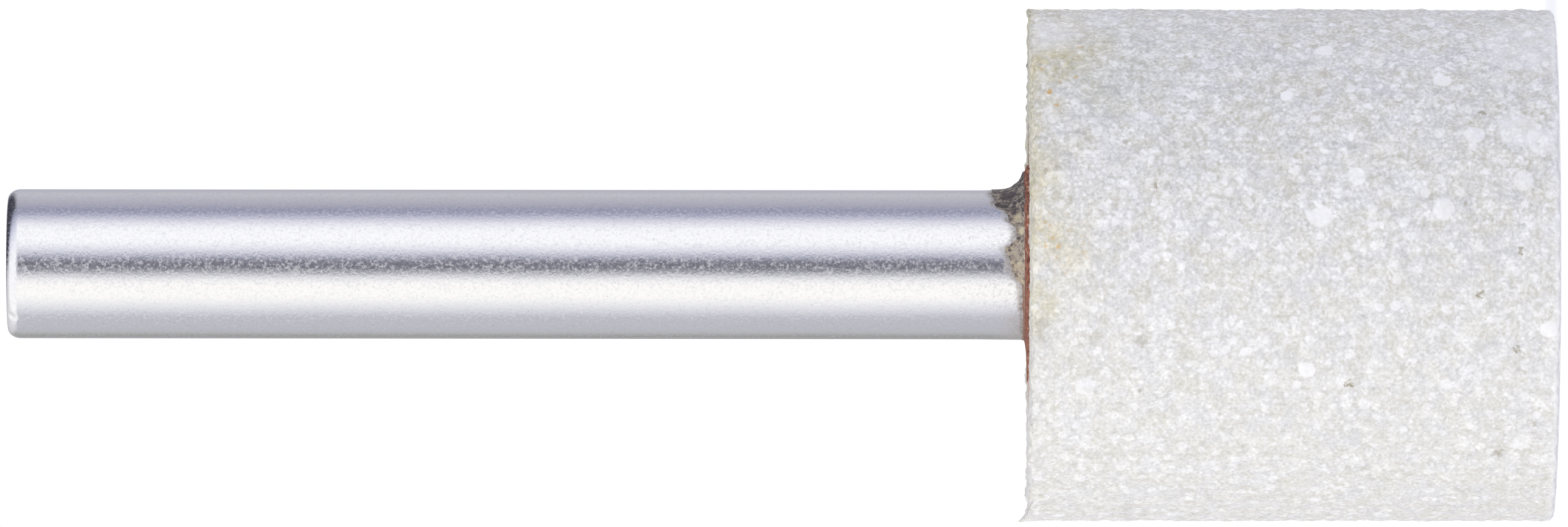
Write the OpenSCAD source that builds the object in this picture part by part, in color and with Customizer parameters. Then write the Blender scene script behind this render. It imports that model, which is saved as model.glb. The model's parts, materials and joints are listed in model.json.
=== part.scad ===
// Mounted point: a cylindrical abrasive head cemented on a round steel shank.
// It stands on the front face of its head, with the shank pointing up along +Z.
// The origin is the centre of that front face, and all lengths are in millimetres.

/* [Abrasive head] */
// Diameter of the grinding surface
head_d = 20.6; // [14:0.1:40]
// Length of the head along the axis
head_len = 21.2; // [16:0.1:50]
// Rounding that use leaves on the front rim
front_rim_r = 0.3; // [0.1:0.05:2]
// Chamfer on the rear rim
rear_rim_c = 0.1; // [0.05:0.05:1]
// Depth of the blind bore below the rear face
bore_depth = 14; // [8:0.5:18]

/* [Shank] */
// Diameter of the ground length that a collet grips
shank_d = 6; // [3:0.5:8]
// Free length from the rear face of the head to the end
shank_free_len = 41; // [15:0.5:80]
// Rounding of the free end
end_round = 0.4; // [0.1:0.05:1]
// Radius that grinding takes off the stock
grind_stock = 0.02; // [0.01:0.005:0.1]
// Length of the taper beside the head where the grinding runs out
runout_len = 2; // [1.6:0.1:6]
// Chamfer on the seated end
seat_chamfer = 0.5; // [0.2:0.1:1]

/* [Knurl on the seated end] */
// Number of straight grooves
knurl_count = 24; // [8:1:30]
// Depth of each V groove
knurl_depth = 0.25; // [0.1:0.05:0.35]
// Plain band between the knurl and the rear face of the head
knurl_inset = 1.5; // [0.5:0.25:4]

/* [Bonding cement] */
// Gap between the shank and the wall of the bore
cement_gap = 0.4; // [0.2:0.05:1]
// Thickness of the plug under the seated end
cement_floor = 0.5; // [0.2:0.1:2]
// Thickness of the film squeezed onto the rear face
film_t = 0.15; // [0.05:0.05:0.4]
// Mean width of the film beyond the bore
film_spread = 0.9; // [0.7:0.05:3]
// Distance that the film lies off the axis, away from the collar's tall side
film_offset = 0.42; // [0:0.02:0.5]
// Height of the waves in the film's edge
film_wave = 0.08; // [0:0.02:0.15]

/* [Squeezed-out collar] */
// Height above the film on the tall side
collar_tall = 1.3; // [0.5:0.05:1.4]
// Height above the film on the low side
collar_low = 0.12; // [0.05:0.01:0.4]
// Width of the foot on the low side
collar_foot_low = 0.12; // [0.06:0.01:0.4]
// Distance from the tall side's foot to the edge of the film
collar_setback = 0.03; // [0:0.01:0.1]
// Thickness of the collar's edges
collar_lip = 0.03; // [0.02:0.01:0.05]
// Height of the runs along the collar's upper edge
collar_wave = 0.1; // [0:0.02:0.2]

/* [Hidden] */
$fn = 96;

head_r = head_d / 2;
shank_r = shank_d / 2;
stock_r = shank_r + grind_stock;
bore_r = stock_r + cement_gap;

rear_z = head_len;
bore_z = rear_z - bore_depth;
seat_z = bore_z + cement_floor;
knurl_z = rear_z - knurl_inset;
film_z = rear_z + film_t;
ground_z = rear_z + runout_len;
tip_z = rear_z + shank_free_len;

film_r = bore_r + film_spread;
film_points = 90;

collar_foot_tall = film_r - film_offset - film_wave - collar_setback - stock_r;
collar_sections = 72;
collar_arc_steps = 7;
// Power that draws the collar's tall side together
collar_lean = 1.4;
// Depth that the collar's blank reaches into the shank before the shank is cut out of it
collar_overcut = stock_r / 2;

// Waves round the joint, between -1 and 1, from three runs of unlike length
function waves(a) = (sin(3 * a + 20) + 0.6 * sin(5 * a + 100) + 0.4 * sin(9 * a + 200)) / 2;

// Edge of the film at the angle a
function film_edge(a) =
    let (r = film_r + film_wave * waves(a))
    [r * cos(a) - film_offset, r * sin(a)];

// Share of the collar's full size at the angle a, from 1 on the tall side (+X) to 0 on the low side
function collar_share(a) = pow((1 + cos(a)) / 2, collar_lean);

function collar_height(a) =
    collar_low + collar_share(a) * (collar_tall - collar_low - collar_wave * (1 - waves(2 * a)) / 2);

function collar_foot(a) = collar_foot_low + collar_share(a) * (collar_foot_tall - collar_foot_low);

// Section of the collar as radius and height: a hollow fillet with a thin lip at its foot and at its top
function collar_section(a) =
    let (
        h = collar_height(a),
        w = collar_foot(a)
    )
    concat(
        [[stock_r - collar_overcut, 0], [stock_r + w, 0]],
        [
            for (i = [0 : collar_arc_steps])
            let (t = 90 * i / collar_arc_steps)
            [
                stock_r + collar_lip + (w - collar_lip) * (1 - sin(t)),
                collar_lip + (h - collar_lip) * (1 - cos(t))
            ]
        ],
        [[stock_r - collar_overcut, h]]
    );

// Solid ring through closed sections, each turned to its own angle about Z
module section_ring(sections) {
    turns = len(sections);
    side = len(sections[0]);
    points = [
        for (i = [0 : turns - 1], p = sections[i])
        let (a = 360 * i / turns)
        [p[0] * cos(a), p[0] * sin(a), p[1]]
    ];
    faces = [
        for (i = [0 : turns - 1], j = [0 : side - 1])
        let (
            next_i = (i + 1) % turns,
            next_j = (j + 1) % side,
            a = i * side + j,
            b = i * side + next_j,
            c = next_i * side + next_j,
            d = next_i * side + j
        )
        each [[a, b, c], [a, c, d]]
    ];
    polyhedron(points, faces);
}

// Half section of the head, with its bore
module head_profile() {
    difference() {
        union() {
            square([head_r - front_rim_r, front_rim_r]);
            translate([head_r - front_rim_r, front_rim_r]) circle(front_rim_r);
            translate([0, front_rim_r]) square([head_r, rear_z - rear_rim_c - front_rim_r]);
            polygon([
                [0, rear_z - rear_rim_c],
                [head_r, rear_z - rear_rim_c],
                [head_r - rear_rim_c, rear_z],
                [0, rear_z]
            ]);
        }
        translate([0, bore_z]) square([bore_r, bore_depth + rear_rim_c]);
    }
}

// Half section of the shank: stock size in the head, ground size beyond the run-out, rounded free end
module shank_profile() {
    polygon([
        [0, seat_z],
        [stock_r - seat_chamfer, seat_z],
        [stock_r, seat_z + seat_chamfer],
        [stock_r, rear_z],
        [shank_r, ground_z],
        [shank_r, tip_z - end_round],
        [0, tip_z - end_round]
    ]);
    translate([0, tip_z - end_round]) square([shank_r - end_round, end_round]);
    translate([shank_r - end_round, tip_z - end_round]) circle(end_round);
}

// V grooves round the seated end, open at that end
module knurl_grooves() {
    for (i = [0 : knurl_count - 1])
        rotate(360 * (i + 0.5) / knurl_count)
        translate([stock_r, 0, seat_z - seat_chamfer])
        linear_extrude(knurl_z - seat_z + seat_chamfer)
        rotate(45)
        square(knurl_depth * sqrt(2), center = true);
}

// The shank's shape, which also cuts its own seat out of the cement and the collar
module shank_form() {
    difference() {
        rotate_extrude() shank_profile();
        knurl_grooves();
    }
}

module abrasive_head() {
    color("gainsboro")
    rotate_extrude()
    head_profile();
}

module shank() {
    color("silver") shank_form();
}

module bonding_cement() {
    color("sienna")
    difference() {
        union() {
            translate([0, 0, bore_z]) cylinder(r = bore_r, h = bore_depth);
            translate([0, 0, rear_z])
                linear_extrude(film_t)
                polygon([for (i = [0 : film_points - 1]) film_edge(360 * i / film_points)]);
        }
        shank_form();
    }
}

module cement_collar() {
    color("rosybrown")
    difference() {
        translate([0, 0, film_z])
            section_ring([for (i = [0 : collar_sections - 1]) collar_section(360 * i / collar_sections)]);
        shank_form();
    }
}

abrasive_head();
shank();
bonding_cement();
cement_collar();
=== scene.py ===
"""A mounted point: a grainy white abrasive head cemented on a satin steel shank.

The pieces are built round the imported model, in metres. The part stands on the front face of its head, and
the shank points up along +Z. The camera looks along +Y and is turned so that the shank lies to the left.
"""

import json
import math

import bpy
import numpy as np
from bpy.props import FloatProperty, FloatVectorProperty, IntProperty, PointerProperty
from mathutils import Matrix, Vector, kdtree, noise


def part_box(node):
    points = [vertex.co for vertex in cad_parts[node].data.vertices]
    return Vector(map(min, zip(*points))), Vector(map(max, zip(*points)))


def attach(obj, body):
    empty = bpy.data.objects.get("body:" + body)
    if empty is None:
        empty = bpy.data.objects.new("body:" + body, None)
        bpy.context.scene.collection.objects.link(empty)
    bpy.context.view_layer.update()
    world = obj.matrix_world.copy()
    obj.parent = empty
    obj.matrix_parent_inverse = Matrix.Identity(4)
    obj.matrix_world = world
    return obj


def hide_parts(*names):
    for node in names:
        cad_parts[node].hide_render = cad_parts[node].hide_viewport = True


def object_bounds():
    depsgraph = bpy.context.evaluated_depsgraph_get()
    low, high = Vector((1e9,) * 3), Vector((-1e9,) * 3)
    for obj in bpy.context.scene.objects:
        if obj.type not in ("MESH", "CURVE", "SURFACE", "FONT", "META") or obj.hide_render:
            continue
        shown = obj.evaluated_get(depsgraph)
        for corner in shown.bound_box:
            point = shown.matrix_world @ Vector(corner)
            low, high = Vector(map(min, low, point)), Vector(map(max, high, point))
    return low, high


bl_info = {
    "name": "Mounted Point",
    "version": (1, 0, 0),
    "blender": (4, 5, 0),
    "location": "View3D > Sidebar > Mounted Point",
    "description": "Builds the head, shank, cement and collar of a mounted point, and a studio stage",
    "category": "Object",
}

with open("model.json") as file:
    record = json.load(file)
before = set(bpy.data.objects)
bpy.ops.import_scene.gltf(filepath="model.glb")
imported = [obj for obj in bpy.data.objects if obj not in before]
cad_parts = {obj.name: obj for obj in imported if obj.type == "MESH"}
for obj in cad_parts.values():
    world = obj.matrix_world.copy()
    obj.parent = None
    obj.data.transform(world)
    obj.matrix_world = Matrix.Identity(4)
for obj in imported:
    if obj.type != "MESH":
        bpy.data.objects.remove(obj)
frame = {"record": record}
CAD_LOW, CAD_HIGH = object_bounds()
HEAD_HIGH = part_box("abrasive_head")[1]
SHANK_LOW, SHANK_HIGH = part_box("shank")
CEMENT_LOW, CEMENT_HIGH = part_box("bonding_cement")
COLLAR_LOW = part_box("cement_collar")[0]

MM = 0.001
BODY = "root"
REAR_Z = HEAD_HIGH.z
HEAD_R = HEAD_HIGH.x
STOCK_R = SHANK_HIGH.x
GROUND_R = frame["record"]["mounts"][0]["dims"]["r_mm"] * MM


# Properties


def length(name, default_mm, description):
    """A length property whose default is given in millimetres."""
    return FloatProperty(
        name=name, description=description, default=default_mm * MM, unit="LENGTH", precision=6
    )


def colour(name, default, description):
    """A linear colour property."""
    return FloatVectorProperty(
        name=name, description=description, default=default, subtype="COLOR", size=3, min=0.0, max=1.0
    )


def number(name, default, description, unit="NONE"):
    """A property for a number that is not a length."""
    return FloatProperty(name=name, description=description, default=default, unit=unit)


def count(name, default, description):
    """A property for a whole number."""
    return IntProperty(name=name, description=description, default=default)


class HeadSettings(bpy.types.PropertyGroup):
    """Sizes and colours of the abrasive head."""

    front_rim: length("Front rim", 0.2, "Radius of the worn front rim")
    rear_rim: length("Rear rim", 0.1, "Chamfer of the rear rim")
    bore_radius: length("Bore radius", 3.42, "Radius of the blind bore for the shank")
    cell: length("Mesh cell", 0.155, "Edge length of the mesh on the grinding surface")
    relief: length("Relief", 0.075, "Height of the grain that breaks the surface")
    chip: length("Chip", 0.2, "Depth of the chips along the rims")
    lump_size: length("Lump size", 0.5, "Spacing of the grain lumps in the relief")
    grain_size: length("Grain size", 0.17, "Spacing of the single grains")
    grain: colour("Grain", (0.85, 0.85, 0.85), "Colour of the abrasive grains")
    gap: colour("Gap", (0.50, 0.485, 0.415), "Colour of the bond in the gaps between grains")
    cool_gap: colour("Cool gap", (0.50, 0.50, 0.495), "Colour of the bond where it is greyer")
    # This colour also paints light on the front rim.
    big_grain_and_rim_light: colour("Big grain", (0.84, 0.84, 0.845), "Colour of the large round grains")
    stain: colour("Stain", (0.93, 0.87, 0.66), "Tint of the resin that soaked into the rear rim")
    # Painted shade: the grey-green rim colour stands for the shade along the rear rim's edge.
    rim: colour("Rim", (0.74, 0.76, 0.66), "Tint of the grey-green line along the rear rim")
    # The soak colour is soaked-in cement and partly painted contact shade where the film meets the rear face.
    soak_and_contact_shade: colour("Soak", (0.72, 0.52, 0.44), "Tint of the cement that soaked in beside the film")
    rust: colour("Rust", (0.58, 0.36, 0.10), "Colour of the rust dots near the joint")
    pore: colour("Pore", (0.31, 0.28, 0.20), "Colour of the open pores")
    seed: count("Seed", 11, "Start of the random draws for the scattered grains")


class ShankSettings(bpy.types.PropertyGroup):
    """Sizes and colours of the steel shank."""

    end_round: length("End rounding", 0.4, "Depth of the rounded free end's edge across the axis")
    end_length: length("End length", 0.52, "Length of that rounding along the axis")
    runout: length("Run-out", 2.0, "Length of the taper beside the head")
    seat_chamfer: length("Seat chamfer", 0.5, "Chamfer of the end in the head")
    knurl_inset: length("Knurl inset", 1.5, "Plain band between the knurl and the rear face")
    knurl_depth: length("Knurl depth", 0.25, "Depth of the V grooves")
    knurl_count: count("Knurl count", 24, "Number of V grooves")
    steel: colour("Steel", (0.80, 0.80, 0.83), "Colour of the satin steel")
    pit: colour("Pit", (0.35, 0.35, 0.38), "Colour of the small pits")
    haze_reach: length("Haze reach", 0.34, "Width of the cement haze on the steel beside the collar")
    low_haze_reach: length("Low haze reach", 1.3, "Width of the faint haze on the collar's low side")
    haze: colour("Haze", (0.22, 0.19, 0.16), "Colour of the thin cement smeared on the steel")
    roughness: number("Roughness", 0.1, "Roughness of the satin steel where it is smooth")


class CementSettings(bpy.types.PropertyGroup):
    """Sizes and colours of the red-brown cement."""

    film_reach: length("Film reach", 4.3, "Mean radius of the film on the rear face")
    film_shift: length("Film shift", 0.42, "Distance that the film lies off the axis")
    film_ripple: length("Film ripple", 0.4, "Height of the waves in the film's edge")
    film_edge: length("Film edge", 0.02, "Thickness of the film's outer edge")
    film_fade: length("Film fade", 0.07, "Drop of the film's edge into the grain on the low side")
    film_sink: length("Film sink", 0.25, "Depth that the film soaks into the grain")
    light: colour("Light", (0.31, 0.13, 0.085), "Colour of the dry cement")
    dark: colour("Dark", (0.15, 0.055, 0.04), "Colour of the dark patches")
    speck: colour("Speck", (0.52, 0.32, 0.24), "Colour of the pale specks")


class CollarSettings(bpy.types.PropertyGroup):
    """Sizes and colours of the grey-brown collar."""

    foot_tall: length("Tall foot", 0.76, "Width of the foot on the tall side")
    foot_low: length("Low foot", 0.08, "Width of the foot on the low side")
    lip: length("Lip", 0.02, "Thickness of the collar's edge on the shank")
    ripple: length("Ripple", 0.09, "Height of the runs along the collar's edge")
    body: colour("Body", (0.40, 0.35, 0.29), "Colour of the collar")
    dark: colour("Dark", (0.07, 0.06, 0.065), "Colour of the dark smears")
    thin: colour("Thin", (0.26, 0.14, 0.10), "Colour of the thin low side, where red cement shows")
    cream: colour("Cream", (0.62, 0.55, 0.38), "Colour of the cream bits")


class StageSettings(bpy.types.PropertyGroup):
    """Camera, light and floor."""

    distance: length("Camera distance", 900.0, "Distance from the camera to the axis")
    view_width: length("View width", 63.15, "Width of the view at the axis")
    centre_z: length("View centre", 30.96, "Height of the view's centre above the front face")
    centre_x: length("View offset", 0.045, "Sideways offset of the view's centre")
    roll: number("Roll", math.radians(0.07), "Small turn of the camera", "ROTATION")
    floor_radius: length("Floor radius", 300.0, "Radius of the floor")
    tent_radius: length("Tent radius", 400.0, "Radius of the light tent that the steel reflects")
    ambient: colour("Ambient", (0.82, 0.82, 0.90), "Light of the room on matt surfaces")
    cool_box: number("Cool box", 0.6, "Power of the softbox on the +X side", "POWER")
    warm_box: number("Warm box", 1.25, "Power of the softbox on the -X side", "POWER")
    high_box: number("High box", 1.5, "Power of the softbox above the part", "POWER")


class MountedPointSettings(bpy.types.PropertyGroup):
    """All settings of the mounted point."""

    head: PointerProperty(type=HeadSettings)
    shank: PointerProperty(type=ShankSettings)
    cement: PointerProperty(type=CementSettings)
    collar: PointerProperty(type=CollarSettings)
    stage: PointerProperty(type=StageSettings)


# Mesh helpers


def polar(radius, angle, height):
    """Points at a radius, an angle from +X and a height, as an array of rows of (x, y, z)."""
    radius, angle, height = np.broadcast_arrays(radius, angle, height)
    return np.stack([radius * np.cos(angle), radius * np.sin(angle), height], axis=-1)


def round_angles(turns, start=0.0):
    """Angles of evenly spaced points round the axis."""
    return start + 2.0 * math.pi * np.arange(turns) / turns


def facing(height_mm, angle_deg, radius):
    """A point on a round surface, by its height and its angle from the camera's side towards -X."""
    angle = math.radians(-90.0 - angle_deg)
    return Vector((radius * math.cos(angle), radius * math.sin(angle), height_mm * MM))


def strip_faces(row_start, next_start, turns):
    """Quads between two rings of points."""
    here = np.arange(turns)
    there = (here + 1) % turns
    corners = [row_start + here, row_start + there, next_start + there, next_start + here]
    return np.stack(corners, axis=-1).tolist()


def fan_faces(centre, row_start, turns, outward):
    """Triangles from a centre point to a ring, facing along +Z when outward is true."""
    here = np.arange(turns)
    there = (here + 1) % turns
    pair = (here, there) if outward else (there, here)
    return np.stack([np.full(turns, centre), row_start + pair[0], row_start + pair[1]], axis=-1).tolist()


def mesh_object(name, points, faces, material):
    """A smooth shaded mesh object with one material."""
    mesh = bpy.data.meshes.new(name)
    mesh.from_pydata(points.tolist(), [], faces)
    mesh.polygons.foreach_set("use_smooth", np.ones(len(mesh.polygons), dtype=bool))
    mesh.materials.append(material)
    mesh.validate()
    mesh.update()
    piece = bpy.data.objects.new(name, mesh)
    bpy.context.scene.collection.objects.link(piece)
    return piece


def add_values(piece, name, values):
    """Gives each point of a piece a value that its material reads by name."""
    attribute = piece.data.attributes.new(name, "FLOAT", "POINT")
    attribute.data.foreach_set("value", values.astype(np.float32))


def lathe_object(name, rows, first, last, material):
    """A closed lathe form: rings of points between a first and a last point on the axis."""
    count, turns, _ = rows.shape
    points = np.concatenate([rows.reshape(-1, 3), [first], [last]])
    faces = []
    for i in range(count - 1):
        faces += strip_faces(i * turns, (i + 1) * turns, turns)
    faces += fan_faces(count * turns, 0, turns, False)
    faces += fan_faces(count * turns + 1, (count - 1) * turns, turns, True)
    return mesh_object(name, points, faces, material)


def loop_object(name, rows, material):
    """A closed ring: rings of points, with the last ring joined to the first."""
    count, turns, _ = rows.shape
    faces = []
    for i in range(count):
        faces += strip_faces(i * turns, (i + 1) % count * turns, turns)
    return mesh_object(name, rows.reshape(-1, 3), faces, material)


def noise_at(points, size, shift=0.0):
    """Smooth noise between about -1 and 1 at each point, with features of the given size."""
    scaled = (points / size + shift).tolist()
    return np.array([noise.noise(p) for p in scaled])


def lumps_at(points, size):
    """Distance to the nearest lump centre at each point, in units of the lumps' spacing."""
    scaled = (points / size).tolist()
    return np.array([noise.voronoi(p)[0][0] for p in scaled])


def smooth_step(x):
    """Smooth ramp from 0 at 0 to 1 at 1."""
    x = np.clip(x, 0.0, 1.0)
    return x * x * (3.0 - 2.0 * x)


# Shader helpers


class Shader:
    """A short way to add and link the nodes of one material or world."""

    def __init__(self, tree):
        self.tree = tree
        tree.nodes.clear()

    def add(self, kind, settings=None, **inputs):
        """Adds a node. Settings are its own options, and inputs are sockets or values by socket name."""
        made = self.tree.nodes.new(kind)
        for name, value in (settings or {}).items():
            setattr(made, name, value)
        for name, value in inputs.items():
            self.feed(made.inputs[name.replace("_", " ")], value)
        return made

    def feed(self, socket, value):
        """Links a socket to an input, or sets its value."""
        if isinstance(value, bpy.types.NodeSocket):
            self.tree.links.new(value, socket)
        elif hasattr(value, "__len__") and len(value) == 3 and len(socket.default_value) == 4:
            socket.default_value = (*value, 1.0)
        else:
            socket.default_value = value

    def math(self, operation, a, b=0.0):
        """One arithmetic step."""
        made = self.add("ShaderNodeMath", {"operation": operation})
        self.feed(made.inputs[0], a)
        self.feed(made.inputs[1], b)
        return made.outputs[0]

    def plus(self, a, b):
        """Sum of two values."""
        return self.math("ADD", a, b)

    def minus(self, a, b):
        """Difference of two values."""
        return self.math("SUBTRACT", a, b)

    def times(self, a, b):
        """Product of two values."""
        return self.math("MULTIPLY", a, b)

    def most(self, a, b):
        """The greater of two values."""
        return self.math("MAXIMUM", a, b)

    def span(self, value, low, high, to_low=0.0, to_high=1.0):
        """Smooth change from to_low to to_high as value goes from low to high."""
        made = self.add(
            "ShaderNodeMapRange",
            {"interpolation_type": "SMOOTHSTEP"},
            Value=value,
            From_Min=low,
            From_Max=high,
            To_Min=to_low,
            To_Max=to_high,
        )
        return made.outputs["Result"]

    def mix(self, factor, a, b, blend="MIX"):
        """Colour between a and b."""
        made = self.add("ShaderNodeMix", {"data_type": "RGBA", "blend_type": blend})
        self.feed(made.inputs["Factor"], factor)
        self.feed(made.inputs[6], a)
        self.feed(made.inputs[7], b)
        return made.outputs[2]

    def millimetres(self):
        """Position on the piece in millimetres."""
        place = self.add("ShaderNodeTexCoord").outputs["Object"]
        made = self.add("ShaderNodeVectorMath", {"operation": "SCALE"}, Vector=place, Scale=1.0 / MM)
        return made.outputs["Vector"]

    def axis(self, vector):
        """The three parts of a vector."""
        return self.add("ShaderNodeSeparateXYZ", Vector=vector).outputs

    def off_axis(self, axis):
        """Distance from the Z axis, from the three parts of a position."""
        squares = self.plus(self.math("POWER", axis["X"], 2.0), self.math("POWER", axis["Y"], 2.0))
        return self.math("SQRT", squares)

    def values(self, name, output="Fac"):
        """A value that the mesh holds at each point."""
        return self.add("ShaderNodeAttribute", {"attribute_name": name}).outputs[output]

    def noise(self, vector, scale, detail=2.0, roughness=0.5):
        """Smooth noise from 0 to 1, with about scale features to the millimetre."""
        made = self.add("ShaderNodeTexNoise", Vector=vector, Scale=scale, Detail=detail, Roughness=roughness)
        return made.outputs["Fac"]

    def sway(self, vector, scale, reach, detail=2.0, roughness=0.5):
        """Smooth noise from -reach to reach."""
        return self.span(self.noise(vector, scale, detail, roughness), 0.3, 0.7, -reach, reach)

    def warp(self, vector, scale, reach_mm):
        """A position pushed about by noise, so that round cells come out ragged."""
        tint = self.add("ShaderNodeTexNoise", Vector=vector, Scale=scale, Detail=2.0).outputs["Color"]
        centred = self.add("ShaderNodeVectorMath", {"operation": "SUBTRACT"}, Vector=tint)
        centred.inputs[1].default_value = (0.5, 0.5, 0.5)
        push = self.add("ShaderNodeVectorMath", {"operation": "SCALE"}, Scale=2.0 * reach_mm)
        self.feed(push.inputs["Vector"], centred.outputs[0])
        moved = self.add("ShaderNodeVectorMath", {"operation": "ADD"}, Vector=vector)
        self.feed(moved.inputs[1], push.outputs[0])
        return moved.outputs[0]

    def cells(self, vector, scale):
        """Voronoi cells: the node, with Distance and Color outputs."""
        return self.add("ShaderNodeTexVoronoi", Vector=vector, Scale=scale)

    def draw(self, cells, channel="Red"):
        """One random number for each cell."""
        return self.add("ShaderNodeSeparateColor", Color=cells.outputs["Color"]).outputs[channel]

    def specks(self, vector, scale, over, core, reach, strength):
        """Round specks in those cells whose random number is over a limit, full up to core and 0 at reach."""
        cells = self.cells(vector, scale)
        rare = self.math("GREATER_THAN", self.draw(cells), over)
        return self.times(rare, self.span(cells.outputs["Distance"], core, reach, strength, 0.0))

    def near(self, vector, centre, radius, core):
        """1 up to a share of the radius round a point given in millimetres, and 0 beyond the radius."""
        made = self.add("ShaderNodeVectorMath", {"operation": "DISTANCE"})
        self.feed(made.inputs[0], vector)
        self.feed(made.inputs[1], tuple(centre))
        return self.span(made.outputs["Value"], radius * core, radius, 1.0, 0.0)

    def bump(self, height, distance_mm, strength=1.0, normal=None):
        """A bumped normal."""
        made = self.add("ShaderNodeBump", Height=height, Distance=distance_mm * MM, Strength=strength)
        if normal is not None:
            self.feed(made.inputs["Normal"], normal)
        return made.outputs["Normal"]

    def end(self, shader, kind="ShaderNodeOutputMaterial"):
        """Links a shader to the output that ends the tree."""
        output = self.add(kind)
        self.feed(output.inputs["Surface"], shader)


def new_material(name):
    """A material with an empty node tree, and the helper for it."""
    material = bpy.data.materials.new(name)
    material.use_nodes = True
    return material, Shader(material.node_tree)


def close_material(s, **inputs):
    """Ends a material's tree with the main shader."""
    s.end(s.add("ShaderNodeBsdfPrincipled", **inputs).outputs["BSDF"])


# Abrasive head

# Layers of grain: spacing in grain sizes, cover and weight
GRAIN_LAYERS = (
    (1.3, 1.2, 0.35),
    (2.5, 0.8, 0.4),
    (4.5, 0.4, 0.24),
)
# Large grains that stand out: height in mm, angle from the camera's side, radius in mm and strength
BIG_GRAINS = (
    (9.35, -56.7, 0.42, 0.8),
    (10.85, -41.0, 0.34, 0.85),
    (4.7, -45.8, 0.4, 0.7),
    (3.5, -30.5, 0.5, 0.62),
    (8.15, -20.4, 0.4, 0.58),
    (1.45, -19.4, 0.45, 0.5),
    (1.7, -32.0, 0.9, 0.4),
    (0.8, -29.0, 0.7, 0.4),
    (4.7, -12.6, 0.5, 0.62),
    (9.6, -10.7, 0.5, 0.7),
    (10.15, 24.0, 0.4, 0.7),
    (0.5, 14.3, 0.4, 0.7),
    (1.5, 43.5, 0.45, 0.5),
    (18.9, 28.0, 0.42, 0.4),
    (12.6, 19.8, 0.25, 0.6),
    (13.4, 18.8, 0.2, 0.5),
    (7.3, 9.2, 0.24, 0.6),
    (6.6, 9.0, 0.24, 0.6),
)
# Marks on the head: kind, height in mm, angle from the camera's side, radius in mm and strength
HEAD_MARKS = (
    ("stain", 20.2, -52.0, 1.8, 0.85),
    ("stain", 18.7, -58.0, 1.6, 0.5),
    ("stain", 20.8, -20.0, 1.6, 0.6),
    # The rim mark is painted shade: the rim's grey-green laid over the +X side beside the rear rim.
    ("rim", 18.4, -50.0, 4.0, 0.3),
    ("stain", 20.5, -7.0, 1.3, 0.6),
    ("stain", 20.6, 8.0, 1.2, 0.6),
    ("stain", 19.4, -1.0, 1.2, 0.4),
    ("grain", 1.0, -60.0, 3.0, 0.3),
    ("grain", 20.6, -64.0, 2.2, 0.35),
    ("rust", 20.37, -42.5, 0.2, 1.0),
    ("rust", 20.15, -38.5, 0.12, 0.6),
    ("rust", 19.9, -45.5, 0.12, 0.5),
    ("rust", 19.3, -47.0, 0.12, 0.5),
    ("rust", 20.5, -9.5, 0.14, 0.6),
    ("rust", 20.2, -6.4, 0.12, 0.5),
    ("rust", 20.0, -4.2, 0.14, 0.6),
    ("rust", 20.5, -4.6, 0.12, 0.5),
    ("rust", 19.8, -8.8, 0.12, 0.4),
    ("rust", 19.0, -2.4, 0.14, 0.3),
    ("rust", 19.1, -58.0, 0.16, 0.4),
    ("rust", 20.7, -50.0, 0.18, 0.4),
    ("pore", 20.57, -21.9, 0.26, 0.5),
    ("pore", 20.0, -21.9, 0.2, 0.45),
    ("pore", 20.75, 13.5, 0.45, 0.4),
    ("pore", 20.7, 16.0, 0.45, 0.35),
    ("pore", 18.5, 17.0, 0.4, 0.25),
    ("pore", 16.7, 17.3, 0.34, 0.45),
    ("pore", 8.4, 27.7, 0.25, 0.95),
    ("pore", 3.3, 6.5, 0.22, 0.85),
    ("pore", 1.8, 18.8, 0.23, 0.85),
    ("pore", 2.4, 47.0, 0.34, 0.55),
    ("pore", 1.0, 38.0, 0.2, 0.5),
    ("pore", 1.6, -3.2, 0.21, 0.75),
    ("pore", 3.1, -36.5, 0.18, 0.7),
    ("pore", 16.2, -18.2, 0.14, 0.9),
)
# Scattered large grains on the side and on the front face: number, and range of radii in mm
SIDE_GRAINS = 170
SIDE_GRAIN_RADII = (0.18, 0.4)
FRONT_GRAINS = 34
FRONT_GRAIN_RADII = (0.2, 0.45)
# Bands in mm beside the front and the rear rim that the scattered grains stay out of
FRONT_BAND = 0.5
REAR_BAND = 2.0
# Share of the front face's area, from the middle outwards, that gets scattered grains
FRONT_SHARE = 0.9

# Level of the relief that lies on the plain form, and height of the large grains, as shares of the relief
RELIEF_LEVEL = 0.45
BIG_GRAIN_RISE = 0.6
# Open grain of the rear face: depth against the side's, and drop and highest point as shares of the relief
REAR_DEPTH = 1.3
REAR_DROP = 0.9
REAR_TOP = 0.4
# Chips along the rims: reach from the rim, size of the chips, and of the small ones between them
CHIP_REACH = 0.7 * MM
CHIP_SIZE = 0.7 * MM
SMALL_CHIP_SIZE = 0.33 * MM
# Front rim's chips against the rear rim's, along and across the axis, and inward share of a chip's depth
FRONT_CHIP_DEPTH = 0.45
FRONT_CHIP_INSET = 0.3
CHIP_INSET = 0.3
# Flake at the rear edge: angle from the camera's side, reach, rise and shift outwards
FLAKE_ANGLE = 88.0
FLAKE_REACH = 0.5 * MM
FLAKE_RISE = 0.42 * MM
FLAKE_SHIFT = 0.06 * MM
# Middle of the small rust dots beside the joint: height in mm, angle from the camera's side, and reach in mm
RUST_HEIGHT = 20.0
RUST_ANGLE = -5.0
RUST_REACH = 2.0


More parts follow.
